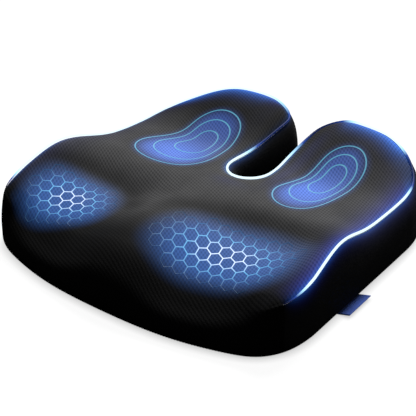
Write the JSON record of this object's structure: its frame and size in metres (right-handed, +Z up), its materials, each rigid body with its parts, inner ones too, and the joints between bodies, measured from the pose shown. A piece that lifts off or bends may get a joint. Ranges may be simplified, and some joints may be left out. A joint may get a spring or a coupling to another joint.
{
  "type": "seat cushion",
  "caption": "Contoured foam seat cushion with a tailbone slot, raised rear lobes and thigh troughs, in a zipped black mesh cover with pale blue edge piping.",
  "frame": {"origin": "on the underside, at the middle of the plan", "axes": "+Z up, +Y to the back where the slot opens, +X to the sitter's right"},
  "size_m": [0.4597, 0.4436, 0.1045],
  "materials": {
    "mesh_fabric": "fine black knitted mesh, matt",
    "band_fabric": "black woven band, matt",
    "base_fabric": "black grip fabric with small rubber dots",
    "piping_cord": "smooth pale blue light-reflecting cord",
    "foam": "open-cell memory foam, matt",
    "gel": "soft translucent blue gel",
    "zip_tape": "woven tape",
    "zip_coil": "nylon coil",
    "zip_metal": "dark nickel, satin",
    "label_weave": "satin-woven blue tab"
  },
  "bodies": {
    "cushion": {"top_panel": "mesh_fabric", "side_band_left": "band_fabric", "side_band_right": "band_fabric", "slot_band": "band_fabric", "bottom_panel": "base_fabric", "edge_piping": "piping_cord", "foam_core": "foam", "thigh_gel_left": "gel", "thigh_gel_right": "gel", "seat_gel_left": "gel", "seat_gel_right": "gel", "zipper_tape_upper": "zip_tape", "zipper_tape_lower": "zip_tape", "zipper_coil_upper": "zip_coil", "zipper_coil_lower": "zip_coil", "zipper_top_stop_upper": "zip_metal", "zipper_top_stop_lower": "zip_metal", "zipper_bottom_stop": "zip_metal"},
    "zipper_slider": {"zipper_slider": "zip_metal"},
    "zipper_pull": {"zipper_pull": "zip_metal"},
    "side_label": {"side_label": "label_weave"}
  },
  "joints": [
    {"name": "zipper_slide", "type": "slide", "parent": "cushion", "child": "zipper_slider", "axis": [-0.0526, -0.9986, 0], "range_m": [0, 0.185]},
    {"name": "pull_hinge", "type": "hinge", "parent": "zipper_slider", "child": "zipper_pull", "pos_m": [-0.21778, 0.09761, 0.0235], "axis": [0, 0, -1], "range_deg": [0, 175]},
    {"name": "label_hinge", "type": "hinge", "parent": "cushion", "child": "side_label", "pos_m": [0.21831, -0.02913, 0.00085], "axis": [0.0526, -0.9986, 0], "range_deg": [-10, 38], "stiffness_Nm_per_rad": 0.002}
  ]
}
